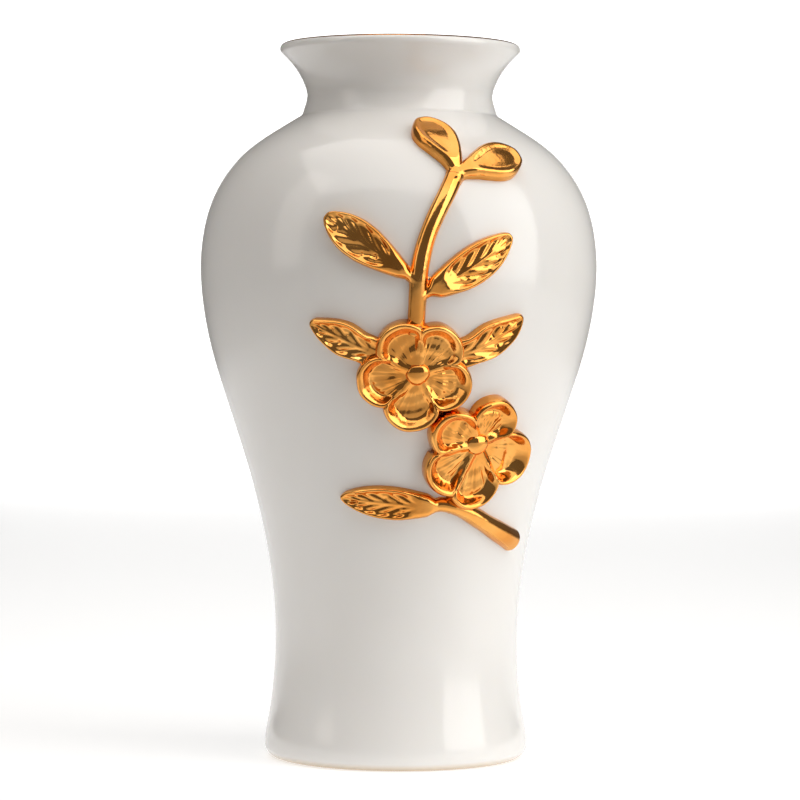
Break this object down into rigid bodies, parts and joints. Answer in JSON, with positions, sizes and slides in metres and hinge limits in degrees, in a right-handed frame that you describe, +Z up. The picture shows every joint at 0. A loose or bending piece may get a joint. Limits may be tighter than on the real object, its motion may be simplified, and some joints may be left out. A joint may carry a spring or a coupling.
{
  "type": "vase",
  "caption": "Hollow porcelain baluster vase with a narrow neck, a flared gilt-edged mouth and a raised gilded flowering twig on its front; holds cut flowers or stands as an ornament.",
  "frame": {"origin": "on the vase's axis, level with the foot ring's flat underside", "axes": "+Z up along the vase's axis, towards the mouth; -Y is the front, where the twig is; +X is to the right when seen from the front"},
  "size_m": [0.167, 0.1707, 0.3],
  "materials": {
    "white_porcelain": "gloss",
    "gold_lustre": "polished"
  },
  "bodies": {
    "root": {"vase_body": "white_porcelain", "rim_gilding": "gold_lustre", "upper_stem": "gold_lustre", "lower_stem": "gold_lustre", "bud_left": "gold_lustre", "bud_right": "gold_lustre", "leaf_upper_left": "gold_lustre", "leaf_upper_right": "gold_lustre", "leaf_middle_left": "gold_lustre", "leaf_middle_right": "gold_lustre", "leaf_lower": "gold_lustre", "flower_upper_petal_1": "gold_lustre", "flower_upper_petal_2": "gold_lustre", "flower_upper_petal_3": "gold_lustre", "flower_upper_petal_4": "gold_lustre", "flower_upper_petal_5": "gold_lustre", "flower_upper_centre": "gold_lustre", "flower_lower_petal_1": "gold_lustre", "flower_lower_petal_2": "gold_lustre", "flower_lower_petal_3": "gold_lustre", "flower_lower_petal_4": "gold_lustre", "flower_lower_petal_5": "gold_lustre", "flower_lower_centre": "gold_lustre"}
  },
  "joints": []
}
